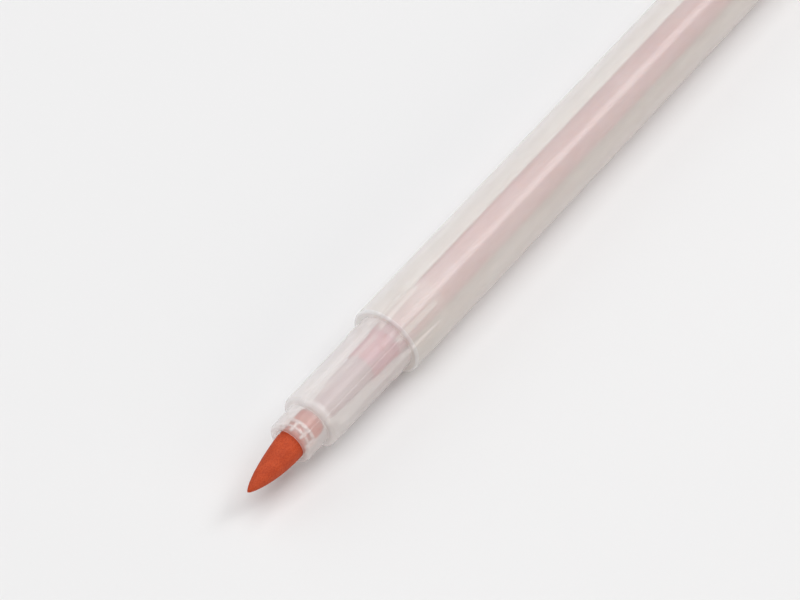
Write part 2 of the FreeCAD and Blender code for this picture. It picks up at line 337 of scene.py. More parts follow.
def new_group(name, inputs, outputs):
    """An empty shader group with float inputs and the named float outputs."""
    tree = bpy.data.node_groups.new(name, "ShaderNodeTree")
    for label, default in inputs.items():
        socket = tree.interface.new_socket(label, in_out="INPUT", socket_type="NodeSocketFloat")
        socket.default_value = default
    for label in outputs:
        tree.interface.new_socket(label, in_out="OUTPUT", socket_type="NodeSocketFloat")
    return tree, tree.nodes.new("NodeGroupInput"), tree.nodes.new("NodeGroupOutput")


def group_node(tree, name, **values):
    made = tree.nodes.new("ShaderNodeGroup")
    made.node_tree = GROUP_MAKERS[name]() if name not in bpy.data.node_groups else bpy.data.node_groups[name]
    for label, value in values.items():
        made.inputs[label.replace("_", " ")].default_value = value
    return made


def make_moulded():
    """Moulded plastic: slow clouding from the melt, a fine spark-eroded grain, and handling marks."""
    tree, given, out = new_group(
        "moulded", {"cloud scale": 260.0, "grain scale": 5200.0, "mark scale": 900.0},
        ["cloud", "grain", "marks", "height"],
    )
    place = tree.nodes.new("ShaderNodeTexCoord").outputs["Object"]
    flow = stretched(tree, place, 0.28)
    cloud = grain(tree, flow, given.outputs["cloud scale"], 3.0, 0.55)
    fine = grain(tree, place, given.outputs["grain scale"], 2.0, 0.6)
    scratch_place = stretched(tree, place, 0.12)
    scratches = grain(tree, scratch_place, given.outputs["mark scale"], 4.0, 0.7)
    marks = ramp(tree, scratches, 0.60, 0.78, 0.0, 1.0)
    height = scaled(tree, cloud, 0.35, fine)
    tree.links.new(ramp(tree, cloud, 0.3, 0.7, 0.0, 1.0), out.inputs["cloud"])
    tree.links.new(fine, out.inputs["grain"])
    tree.links.new(marks, out.inputs["marks"])
    tree.links.new(height, out.inputs["height"])
    return tree


def make_fibres():
    """Bonded fibres: streaks along the pen, pits between them and lint that stands up."""
    tree, given, out = new_group(
        "fibres", {"streak scale": 2600.0, "pit scale": 3400.0, "along": 0.22},
        ["streaks", "pits", "blotches", "height"],
    )
    place = tree.nodes.new("ShaderNodeTexCoord").outputs["Object"]
    squeeze = add(tree, "ShaderNodeCombineXYZ", {"X": 1.0, "Y": given.outputs["along"], "Z": 1.0})
    flow = add(tree, "ShaderNodeVectorMath", {0: place, 1: squeeze.outputs[0]}, operation="MULTIPLY")
    streaks = grain(tree, flow.outputs[0], given.outputs["streak scale"], 3.0, 0.65)
    pits = add(
        tree, "ShaderNodeTexVoronoi", {"Vector": place, "Scale": given.outputs["pit scale"]},
        feature="SMOOTH_F1",
    ).outputs["Distance"]
    blotches = grain(tree, place, 620.0, 2.0, 0.5)
    height = maths(tree, "ADD", maths(tree, "MULTIPLY", streaks, 0.8), maths(tree, "MULTIPLY", pits, 0.5))
    tree.links.new(ramp(tree, streaks, 0.32, 0.68, 0.0, 1.0), out.inputs["streaks"])
    tree.links.new(ramp(tree, pits, 0.12, 0.55, 0.0, 1.0), out.inputs["pits"])
    tree.links.new(ramp(tree, blotches, 0.35, 0.65, 0.0, 1.0), out.inputs["blotches"])
    tree.links.new(height, out.inputs["height"])
    return tree


GROUP_MAKERS = {"moulded": make_moulded, "fibres": make_fibres}


def new_material(name):
    material = bpy.data.materials.new(name)
    material.use_nodes = True
    tree = material.node_tree
    return material, tree, tree.nodes["Principled BSDF"]


def bump(tree, height, strength, distance):
    return add(
        tree, "ShaderNodeBump", {"Height": height, "Strength": strength, "Distance": distance}
    ).outputs["Normal"]


def milky_plastic(name, rgb, veil, veil_change, roughness, coat, clouding=0.03, grain_depth=0.004):
    """Translucent moulded plastic. The veil is how much it hides of what lies behind it."""
    material, tree, shader = new_material(name)
    texture = group_node(tree, "moulded")
    cloud, marks = texture.outputs["cloud"], texture.outputs["marks"]
    pale = tuple(min(1.0, part * (1 + clouding)) for part in rgb)
    deep = tuple(part * (1 - clouding) for part in rgb)
    base = blend(tree, cloud, deep, pale)
    tree.links.new(base, shader.inputs["Base Color"])
    tree.links.new(scaled(tree, marks, 0.10, roughness), shader.inputs["Roughness"])
    tree.links.new(scaled(tree, cloud, veil_change, veil), shader.inputs["Alpha"])
    tree.links.new(bump(tree, texture.outputs["height"], 0.25, grain_depth * MM), shader.inputs["Normal"])
    shader.inputs["Coat Weight"].default_value = coat
    shader.inputs["Coat Roughness"].default_value = 0.07
    shader.inputs["IOR"].default_value = 1.49
    shader.inputs["Subsurface Weight"].default_value = 0.4
    shader.inputs["Subsurface Radius"].default_value = (1.0, 0.95, 0.9)
    shader.inputs["Subsurface Scale"].default_value = 1.5 * MM
    return material


def felt(name, rgb, pale, dark, depth, streak_scale, pit_scale, shank=None):
    """Ink-soaked fibre. Shank is the colour that it fades to behind the mouth."""
    material, tree, shader = new_material(name)
    texture = group_node(tree, "fibres", streak_scale=streak_scale, pit_scale=pit_scale)
    streaks, pits = texture.outputs["streaks"], texture.outputs["pits"]
    raised = blend(tree, maths(tree, "MULTIPLY", streaks, 0.34), rgb, pale)
    hollow = maths(tree, "MULTIPLY", maths(tree, "SUBTRACT", 1.0, pits), 0.4)
    base = blend(tree, hollow, raised, dark)
    blotched = blend(tree, maths(tree, "MULTIPLY", texture.outputs["blotches"], 0.22), base, dark)
    if shank:
        place = tree.nodes.new("ShaderNodeTexCoord").outputs["Object"]
        station = add(tree, "ShaderNodeSeparateXYZ", {"Vector": place}).outputs["Y"]
        inside = ramp(tree, station, MOUTH + 3.6 * MM, MOUTH + 6.0 * MM, 0.0, 1.0)
        blotched = blend(tree, inside, blotched, shank)
    tree.links.new(blotched, shader.inputs["Base Color"])
    tree.links.new(scaled(tree, streaks, 0.18, 0.62), shader.inputs["Roughness"])
    tree.links.new(bump(tree, texture.outputs["height"], 0.6, depth * MM), shader.inputs["Normal"])
    shader.inputs["Specular IOR Level"].default_value = 0.2
    return material


def solid_plastic(name, rgb, roughness):
    """Opaque moulded plastic."""
    material, tree, shader = new_material(name)
    texture = group_node(tree, "moulded")
    deep = tuple(part * 0.86 for part in rgb)
    tree.links.new(blend(tree, texture.outputs["cloud"], deep, rgb), shader.inputs["Base Color"])
    tree.links.new(scaled(tree, texture.outputs["marks"], 0.15, roughness), shader.inputs["Roughness"])
    tree.links.new(bump(tree, texture.outputs["height"], 0.25, 0.004 * MM), shader.inputs["Normal"])
    shader.inputs["Coat Weight"].default_value = 0.3
    shader.inputs["Coat Roughness"].default_value = 0.1
    return material


def table_top(name, rgb):
    """The plain table, with a faint tooth."""
    material, tree, shader = new_material(name)
    place = tree.nodes.new("ShaderNodeTexCoord").outputs["Object"]
    tooth = grain(tree, place, 2200.0, 3.0, 0.6)
    deep = tuple(part * 0.985 for part in rgb)
    tree.links.new(blend(tree, tooth, deep, rgb), shader.inputs["Base Color"])
    tree.links.new(bump(tree, tooth, 0.1, 0.02 * MM), shader.inputs["Normal"])
    shader.inputs["Roughness"].default_value = 0.85
    shader.inputs["Specular IOR Level"].default_value = 0.2
    return material


def material_for(name):
    """A finished material by name, made once."""
    if name in bpy.data.materials:
        return bpy.data.materials[name]
    colours = bpy.context.scene.pen_colours
    makers = {
        "frosted body": lambda: milky_plastic(name, colours.body, 0.37, 0.03, 0.30, 0.9),
        "frosted bore": lambda: milky_plastic(name, colours.body, 0.08, 0.02, 0.45, 0.0),
        "clear nozzle": lambda: milky_plastic(name, colours.neck, 0.32, 0.03, 0.18, 0.8),
        "clear neck": lambda: milky_plastic(name, colours.neck, 0.38, 0.03, 0.25, 0.5),
        "clear neck bore": lambda: milky_plastic(name, colours.neck, 0.08, 0.03, 0.35, 0.0),
        "thick neck": lambda: milky_plastic(name, colours.collar, 0.5, 0.06, 0.35, 0.1),
        "neck rib": lambda: milky_plastic(name, colours.collar, 0.16, 0.03, 0.25, 0.3),
        # Painted highlight: whiter, denser plastic on the rounded rims stands in for the bright lines that
        # light makes there; its coat adds real gloss.
        "painted highlight edge": lambda: milky_plastic(name, colours.edge, 0.45, 0.0, 0.18, 1.0),
        "collar plastic": lambda: milky_plastic(name, colours.collar, 0.5, 0.0, 0.25, 0.2),
        "tail plastic": lambda: milky_plastic(name, colours.collar, 0.8, 0.05, 0.35, 0.4),
        "seal plastic": lambda: milky_plastic(name, colours.seal, 0.7, 0.05, 0.5, 0.0),
        "clear film": lambda: milky_plastic(name, colours.film, 0.12, 0.06, 0.12, 0.5, 0.03, 0.01),
        "inked felt": lambda: felt(
            name, colours.ink, colours.ink_pale, colours.ink_dark, 0.05, 3600.0, 6500.0, tuple(colours.shank)
        ),
        "reservoir fibre": lambda: felt(
            name, colours.reservoir, colours.reservoir_pale, colours.ink, 0.03, 1500.0, 2600.0
        ),
        "ink plastic": lambda: solid_plastic(name, colours.ink, 0.32),
        "table top": lambda: table_top(name, colours.floor),
    }
    return makers[name]()


# ---------------------------------------------------------------- mesh building


def around_axis(y, radius, turn, shift=(0.0, 0.0)):
    """A point at a station, radius and turn from the top towards +X."""
    x = AXIS_X + radius * math.sin(turn) + shift[0]
    z = AXIS_Z + radius * math.cos(turn) + shift[1]
    return Vector((x, y, z))


def rounded(corners):
    """A closed outline of (station, radius) points, with an arc at each corner that has a rounding."""
    points = []
    for i, corner in enumerate(corners):
        here = Vector(corner[:2])
        size = corner[2] if len(corner) > 2 else 0.0
        if size <= 0:
            points.append(here)
            continue
        before = (Vector(corners[i - 1][:2]) - here).normalized() * size
        after = (Vector(corners[(i + 1) % len(corners)][:2]) - here).normalized() * size
        centre = here + before + after
        for step in range(ROUND_STEPS + 1):
            t = math.pi / 2 * step / ROUND_STEPS
            points.append(centre - after * math.cos(t) - before * math.sin(t))
    return points


def even_turns(segments):
    return [TURN * i / segments for i in range(segments)]


def smooth_by(mesh, degrees):
    mesh.set_sharp_from_angle(angle=math.radians(degrees))


def object_from(bm, name, material_names):
    """A new object in the scene from a bmesh, which is freed."""
    mesh = bpy.data.meshes.new(name)
    bm.to_mesh(mesh)
    bm.free()
    for material in material_names:
        mesh.materials.append(material_for(material))
    made = bpy.data.objects.new(name, mesh)
    bpy.context.scene.collection.objects.link(made)
    return made


def skin(name, rings, material_names, finish=None):
    """A closed piece from rings of points. Each ring joins the next and the last joins the first.
    A ring of one point closes a piece on the axis. Finish tells which material, counted from
    nothing, the face at (band, side) takes."""
    bm = bmesh.new()
    loops = [[bm.verts.new(p) for p in ring] for ring in rings]
    total = len(loops)
    for i, low in enumerate(loops):
        high = loops[(i + 1) % total]
        if len(low) == 1 and len(high) == 1:
            continue
        sides = max(len(low), len(high))
        for j in range(sides):
            k = (j + 1) % sides
            corners = [low[j % len(low)], low[k % len(low)], high[k % len(high)], high[j % len(high)]]
            face = bm.faces.new(list(dict.fromkeys(corners)))
            face.smooth = True
            face.material_index = finish(i, j) if finish else 0
    bmesh.ops.recalc_face_normals(bm, faces=bm.faces)
    piece = object_from(bm, name, material_names)
    smooth_by(piece.data, 50)
    return piece


def rounding_bands(corners):
    """The bands that the first few rounded corners of an outline make."""
    step = ROUND_STEPS + 1
    return {corner * step + band for corner in range(corners) for band in range(ROUND_STEPS)}


def turned(name, corners, material_names, segments, bore=0.0, edges=0):
    """A turned piece from a closed outline of (station, radius[, rounding]) corners.
    Where the outline stays within the bore, the piece takes the second material. The roundings of
    the first few edges take the third, a whiter and denser plastic that paints a highlight on them."""
    turns = even_turns(segments)
    outline = rounded(corners)
    rings = []
    for y, radius in outline:
        if radius < ON_AXIS:
            rings.append([around_axis(y, 0.0, 0.0)])
        else:
            rings.append([around_axis(y, radius, t) for t in turns])
    inner = set()
    for i, point in enumerate(outline):
        after = outline[(i + 1) % len(outline)]
        if max(point[1], after[1]) < bore + 1e-6:
            inner.add(i)
    bright = rounding_bands(edges)

    def finish(band, side):
        if band in bright:
            return 2
        return 1 if band in inner else 0

    return skin(name, rings, material_names, finish)


def finish_piece(piece, body, node):
    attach(piece, body)
    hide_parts(node)


def swelling(centre, half_length, base, height, steps=10):
    """Points of a shallow arc that stands on a straight side, from its front to its rear."""
    points = []
    for i in range(steps + 1):
        t = 2.0 * i / steps - 1.0
        points.append((centre + half_length * t, base + height * (1 - t * t)))
    return points


def rib_offsets(width, chamfer, low, high):
    """Half of a rib's ring of points, root first, as (turn from its middle, radius)."""
    high = min(high, low)
    half = min(width / 2, 0.7 * high)
    chamfer = min(chamfer, half / 2)
    side = min(high + chamfer, low)
    return [
        (math.asin(half / low), low),
        (math.asin(half / side), side),
        (math.asin((half - chamfer) / high), high),
    ]


def ribbed_ring(y, low, high, sizes):
    """One ring of points of a ribbed bore. Low is the bore's radius and high the ribs' inner radius."""
    ribs, first, width, gap_steps = sizes
    if low < ON_AXIS:
        return [around_axis(y, 0.0, 0.0)]
    half = rib_offsets(width, RIB_CHAMFER, low, high)
    top = min(high, low)
    pitch = TURN / ribs
    reach = half[0][0]
    ring = []
    for i in range(ribs):
        middle = first + pitch * i
        ring += [around_axis(y, radius, middle - offset) for offset, radius in half]
        ring.append(around_axis(y, top, middle))
        ring += [around_axis(y, radius, middle + offset) for offset, radius in reversed(half)]
        gap = pitch - 2 * reach
        for step in range(1, gap_steps):
            ring.append(around_axis(y, low, middle + reach + gap * step / gap_steps))
    return ring


def ribbed(name, outside, inside, material_names, sizes, nozzle_end, covered, narrow_bore):
    """A piece turned on the outside with a ribbed bore. Outside is (station, radius[, rounding]) from
    the front to the rear; inside is (station, radius, ribs' inner radius) from the rear to the front.
    The materials are the nozzle's, the neck's, the covered outside and the bore's, the one for walls
    narrower than narrow_bore and for ribs behind the shoulder, the other ribs', and the lip's edge, whiter
    plastic that paints a highlight there."""
    front, rear = inside[-1], inside[0]
    corners = [(front[0], front[1]), *outside, (rear[0], rear[1])]
    outer = rounded(corners)[1:-1]
    shown = sum(1 for y, radius in outer if y < covered)
    rings = [ribbed_ring(y, radius, radius, sizes) for y, radius in outer]
    rings += [ribbed_ring(y, low, high, sizes) for y, low, high in inside]
    points_each = RIB_SIDES + sizes[3]
    edges = rounding_bands(1)

    def finish(band, side):
        if band in edges:
            return 5
        if band < shown - 1:
            return 0 if outer[band][0] < nozzle_end else 1
        start = band - len(outer)
        if start < 0 or start + 1 >= len(inside):
            return 2
        if max(inside[start][1], inside[start + 1][1]) < narrow_bore:
            return 3
        stands = any(high < low for y, low, high in inside[start : start + 2])
        if not stands or side % points_each >= RIB_SIDES:
            return 2
        return 3 if inside[start + 1][0] >= SHOULDER else 4

    return skin(name, rings, material_names, finish)


def united(name, first, second, operation="UNION"):
    """First with second joined to it or cut from it, as one closed mesh. Second is removed."""
    cutter = first.modifiers.new("union", "BOOLEAN")
    cutter.operation = operation
    cutter.solver = "EXACT"
    cutter.object = second
    bpy.context.view_layer.update()
    evaluated = first.evaluated_get(bpy.context.evaluated_depsgraph_get())
    mesh = bpy.data.meshes.new_from_object(evaluated)
    first.modifiers.clear()
    first.data = mesh
    bpy.data.objects.remove(second)
    first.name = name
    return first


# ---------------------------------------------------------------- pieces


class BRUSHPEN_OT_barrel(bpy.types.Operator):
    """Make the long frosted tube"""

    bl_idname = "brushpen.barrel"
    bl_label = "Barrel"
    bl_options = {"REGISTER", "UNDO"}

    def execute(self, context):
        scene = context.scene
        sizes = scene.pen_barrel
        front, rear = BARREL_LOW.y, TAIL_HIGH.y - scene.pen_tail.post_length - SEAM - FLANGE
        outline = [
            (front, sizes.bore, MOUTH_EDGE),
            (front, BARREL_RADIUS, sizes.rim),
            (rear, BARREL_RADIUS, FINE_EDGE),
            (rear, sizes.bore),
        ]
        # The third finish paints a highlight on the rim's two roundings.
        finishes = ["frosted body", "frosted bore", "painted highlight edge"]
        piece = turned("barrel", outline, finishes, sizes.segments, sizes.bore, 2)
        finish_piece(piece, "pen", "barrel_tube")
        return {"FINISHED"}


class BRUSHPEN_OT_front_section(bpy.types.Operator):
    """Make the nozzle, neck and ribbed sleeve"""

    bl_idname = "brushpen.front_section"
    bl_label = "Front section"
    bl_options = {"REGISTER", "UNDO"}

    def execute(self, context):
        scene = context.scene
        sizes = scene.pen_front
        neck = SHOULDER - sizes.neck_length
        rear = SHOULDER + sizes.sleeve
        seat = scene.pen_barrel.bore - SEAM
        bead = swelling(SHOULDER - sizes.bead_centre, sizes.bead_length / 2, NECK_RADIUS, sizes.bead_height)
        outside = [
            (MOUTH, sizes.mouth, MOUTH_EDGE),
            (MOUTH, sizes.nozzle_radius, sizes.lip_rounding),
            (neck, sizes.nozzle_radius, 0.15 * MM),
            (neck, NECK_RADIUS, sizes.neck_rounding),
            *bead,
            (SHOULDER - 0.3 * MM, NECK_RADIUS),
            (SHOULDER, NECK_RADIUS),
            (SHOULDER + 0.2 * MM, seat),
            (SHOULDER + 0.3 * MM, seat),
            (rear, seat, 0.12 * MM),
        ]
        shank_rib = sizes.web_bore + 0.05 * MM
        neck_rib = scene.pen_reservoir.neck_radius + FIT_GAP
        film_rib = scene.pen_reservoir.radius + scene.pen_reservoir.film + FIT_GAP
        reservoir_front = RESERVOIR_LOW.y
        film_front = FILM_LOW.y
        inside = [
            (rear, sizes.chamber + sizes.lead_in, sizes.chamber + sizes.lead_in),
            (rear - sizes.lead_in, sizes.chamber, sizes.chamber),
            (SHOULDER + sizes.rib_taper, sizes.chamber, sizes.chamber),
            (SHOULDER, sizes.chamber, film_rib),
            (film_front - 0.1 * MM, sizes.chamber, film_rib),
            (film_front - 0.2 * MM, sizes.chamber, neck_rib),
            (reservoir_front - 0.1 * MM, sizes.chamber, neck_rib),
            (reservoir_front - 0.3 * MM, sizes.chamber, shank_rib),
            (SHOULDER - sizes.chamber_start, sizes.chamber, shank_rib),
            (SHOULDER - sizes.web_end, sizes.web_bore, sizes.web_bore),
            (SHOULDER - sizes.web_start, sizes.web_bore, sizes.web_bore),
            (SHOULDER - sizes.web_start, sizes.nozzle_bore, sizes.nozzle_bore),
            (MOUTH + sizes.lip, sizes.nozzle_bore, sizes.nozzle_bore),
            (MOUTH + sizes.lip, sizes.mouth, sizes.mouth),
            (MOUTH + MOUTH_EDGE, sizes.mouth, sizes.mouth),
        ]
        rib_sizes = (sizes.ribs, sizes.rib_angle, sizes.rib_width, sizes.gap_steps)
        # The last finish paints a highlight on the lip's edge.
        finishes = ["clear nozzle", "clear neck", "clear neck bore", "thick neck", "neck rib", "painted highlight edge"]
        covered = SHOULDER + 0.25 * MM
        narrow = sizes.web_bore + 0.1 * MM
        nozzle_end = neck - 0.05 * MM
        piece = ribbed(
            "front_section_piece", outside, inside, finishes, rib_sizes, nozzle_end, covered, narrow
        )
        finish_piece(piece, "pen", "front_section")
        return {"FINISHED"}


class BRUSHPEN_OT_nib_collar(bpy.types.Operator):
    """Make the windowed collar that holds the nib"""

    bl_idname = "brushpen.nib_collar"
    bl_label = "Nib collar"
    bl_options = {"REGISTER", "UNDO"}

    def execute(self, context):
        scene = context.scene
        sizes = scene.pen_nib
        outer = (COLLAR_HIGH.x - COLLAR_LOW.x) / 2
        inner = outer - sizes.collar_wall
        window = (COLLAR_HIGH.y - COLLAR_LOW.y - sizes.collar_middle - sizes.collar_rear) / 2
        stations = [COLLAR_LOW.y]
        for step in (window, sizes.collar_middle, window, sizes.collar_rear):
            stations.append(stations[-1] + step)
        cells, open_cells = 10, 8
        around = cells * sizes.windows
        first = sizes.collar_turn

        def is_solid(row, column):
            in_window_row = row in (0, 2)
            return not (in_window_row and column % cells < open_cells)

        bm = bmesh.new()
        corners = {}

        def corner(row, column, layer):
            key = (row, column % around, layer)
            if key not in corners:
                turn = first + TURN * (column % around) / around
                radius = inner if layer == 0 else outer
                corners[key] = bm.verts.new(around_axis(stations[row], radius, turn))
            return corners[key]

        def quad(*places):
            bm.faces.new([corner(*place) for place in places]).smooth = True

        def wall(row_a, column_a, row_b, column_b):
            low, high = (row_a, column_a), (row_b, column_b)
            quad((*low, 0), (*high, 0), (*high, 1), (*low, 1))

        for row in range(4):
            for column in range(around):
                if not is_solid(row, column):
                    continue
                for layer in (0, 1):
                    quad(
                        (row, column, layer), (row + 1, column, layer),
                        (row + 1, column + 1, layer), (row, column + 1, layer),
                    )
                if row == 0 or not is_solid(row - 1, column):
                    wall(row, column, row, column + 1)
                if row == 3 or not is_solid(row + 1, column):
                    wall(row + 1, column, row + 1, column + 1)
                if not is_solid(row, column - 1):
                    wall(row, column, row + 1, column)
                if not is_solid(row, column + 1):
                    wall(row, column + 1, row + 1, column + 1)
        bmesh.ops.recalc_face_normals(bm, faces=bm.faces)
        piece = object_from(bm, "collar", ["collar plastic"])
        smooth_by(piece.data, 50)
        finish_piece(piece, "pen", "nib_collar")
        return {"FINISHED"}


class BRUSHPEN_OT_brush_nib(bpy.types.Operator):
    """Make the flexible felt nib, with its shank and pin"""

    bl_idname = "brushpen.brush_nib"
    bl_label = "Brush nib"
    bl_options = {"REGISTER", "UNDO"}

    def execute(self, context):
        scene = context.scene
        sizes = scene.pen_nib
        tip = NIB_LOW.y
        exposed = MOUTH - tip
        rows, crowding = 90, 1.4
        outline = [(tip, 0.0)]
        for i in range(1, rows + 1):
            share_along = (i / rows) ** crowding
            swell = (1 - (1 - share_along) ** sizes.fullness) ** sizes.bluntness
            outline.append((tip + exposed * share_along, sizes.radius * swell))
        reservoir_front = RESERVOIR_LOW.y
        pin_end = NIB_HIGH.y
        rows_inside = 60
        for i in range(1, rows_inside + 1):
            y = MOUTH + (reservoir_front - MOUTH) * i / rows_inside
            outline.append((y, self.shank_radius(sizes, y - MOUTH)))
        outline += [
            (reservoir_front, sizes.pin),
            (pin_end - sizes.pin_point, sizes.pin),
            (pin_end, PIN_TIP),
            (pin_end, 0.0),
        ]
        turns = even_turns(120)
        rings = []
        for y, radius in outline:
            ahead = max(0.0, MOUTH + sizes.lean_start - y) / (exposed + sizes.lean_start)
            bend = sizes.lean * math.sin(math.pi / 2 * min(1.0, ahead * 1.25)) ** 2
            shift = (bend * math.sin(sizes.lean_side), bend * math.cos(sizes.lean_side))
            if radius < ON_AXIS:
                rings.append([around_axis(y, 0.0, 0.0, shift)])
                continue
            ring = []
            for turn in turns:
                point = around_axis(y, radius, turn, shift)
                place = Vector((point.x * 5200, point.y * 1500, point.z * 5200))
                lint = noise.noise(place) * 0.010 * MM + noise.noise(place * 2.3) * 0.006 * MM
                ring.append(around_axis(y, radius + lint, turn, shift))
            rings.append(ring)
        piece = skin("nib", rings, ["inked felt"])
        finish_piece(piece, "pen", "brush_nib")
        return {"FINISHED"}

    def shank_radius(self, sizes, depth):
        """Radius of the shank at a depth behind the mouth: straight, then a waist, then straight."""
        narrowing = 2.0 * MM
        start = sizes.waist_place - narrowing
        if depth < sizes.waist_place:
            t = min(1.0, max(0.0, (depth - start) / narrowing))
            return sizes.shank + (sizes.waist - sizes.shank) * t * t * (3 - 2 * t)
        t = min(1.0, (depth - sizes.waist_place) / sizes.waist_length)
        return sizes.waist + (sizes.shank - sizes.waist) * t


class BRUSHPEN_OT_reservoir(bpy.types.Operator):
    """Make the fibre rod that holds the ink, and the clear film round it"""

    bl_idname = "brushpen.reservoir"
    bl_label = "Ink reservoir and film"
    bl_options = {"REGISTER", "UNDO"}

    def execute(self, context):
        scene = context.scene
        sizes = scene.pen_reservoir
        nib = scene.pen_nib
        front, rear = RESERVOIR_LOW.y, RESERVOIR_HIGH.y
        film_front = FILM_LOW.y
        hole = nib.pin + sizes.hole_gap
        pin_end = NIB_HIGH.y
        outline = [
            (front, hole, 0.15 * MM),
            (front, sizes.neck_radius, 0.2 * MM),
            (film_front - 0.9 * MM, sizes.neck_radius),
            (film_front, sizes.radius - 0.01 * MM),
            (rear, sizes.radius - 0.01 * MM, 0.15 * MM),
            (rear, 0.0),
            (pin_end + sizes.hole_gap, 0.0),
            (pin_end + sizes.hole_gap, PIN_TIP + sizes.hole_gap),
            (pin_end - nib.pin_point, hole),
        ]
        rod = turned("reservoir_rod", outline, ["reservoir fibre"], 96)
        finish_piece(rod, "pen", "ink_reservoir")
        inner, outer = sizes.radius, sizes.radius + sizes.film
        film_outline = [
            (film_front, inner),
            (film_front, outer),
            (rear, outer),
            (rear, inner),
        ]
        film = turned("reservoir_wrap", film_outline, ["clear film"], 96)
        finish_piece(film, "pen", "reservoir_film")
        return {"FINISHED"}


class BRUSHPEN_OT_tail_plug(bpy.types.Operator):
    """Make the plug at the tail with its finned sleeve and post"""

    bl_idname = "brushpen.tail_plug"
    bl_label = "Tail plug"
    bl_options = {"REGISTER", "UNDO"}

    def execute(self, context):
        scene = context.scene
        sizes = scene.pen_tail
        front = TAIL_LOW.y
        post_end = TAIL_HIGH.y
        flange_end = post_end - sizes.post_length
        flange_start = flange_end - FLANGE
        seat = scene.pen_barrel.bore - SEAM
        outside = [
            (front, sizes.sleeve_bore, 0.1 * MM),
            (front, seat, 0.25 * MM),
            (flange_start, seat),
            (flange_start, BARREL_RADIUS, sizes.flange_rounding),
            (flange_end, BARREL_RADIUS, sizes.flange_rounding),
            (flange_end, sizes.post),
            (post_end, sizes.post, sizes.post_rounding),
            (post_end, 0.4 * MM),
            (post_end - 0.15 * MM, 0.3 * MM),
            (post_end - 0.15 * MM, 0.0),
        ]
        holder = (FILM_HIGH.x - FILM_LOW.x) / 2 + FIT_GAP
        stop = RESERVOIR_HIGH.y + FIT_GAP
        ledge = 1.2 * MM
        inside = [
            (post_end - sizes.floor, 0.0, 0.0),
            (post_end - sizes.floor, sizes.sleeve_bore, sizes.sleeve_bore),
            (flange_start + 0.1 * MM, sizes.sleeve_bore, sizes.sleeve_bore),
            (flange_start, sizes.sleeve_bore, ledge),
            (stop, sizes.sleeve_bore, ledge),
            (stop, sizes.sleeve_bore, holder),
            (front + 0.3 * MM, sizes.sleeve_bore, holder),
            (front + 0.1 * MM, sizes.sleeve_bore, holder + 0.2 * MM),
        ]
        fin_sizes = (sizes.fins, math.radians(45), sizes.fin_width, 24)
        finishes = ["tail plastic"] * 6
        piece = ribbed("tail_stopper", outside, inside, finishes, fin_sizes, front, post_end, 0.0)
        finish_piece(piece, "pen", "tail_plug")
        return {"FINISHED"}


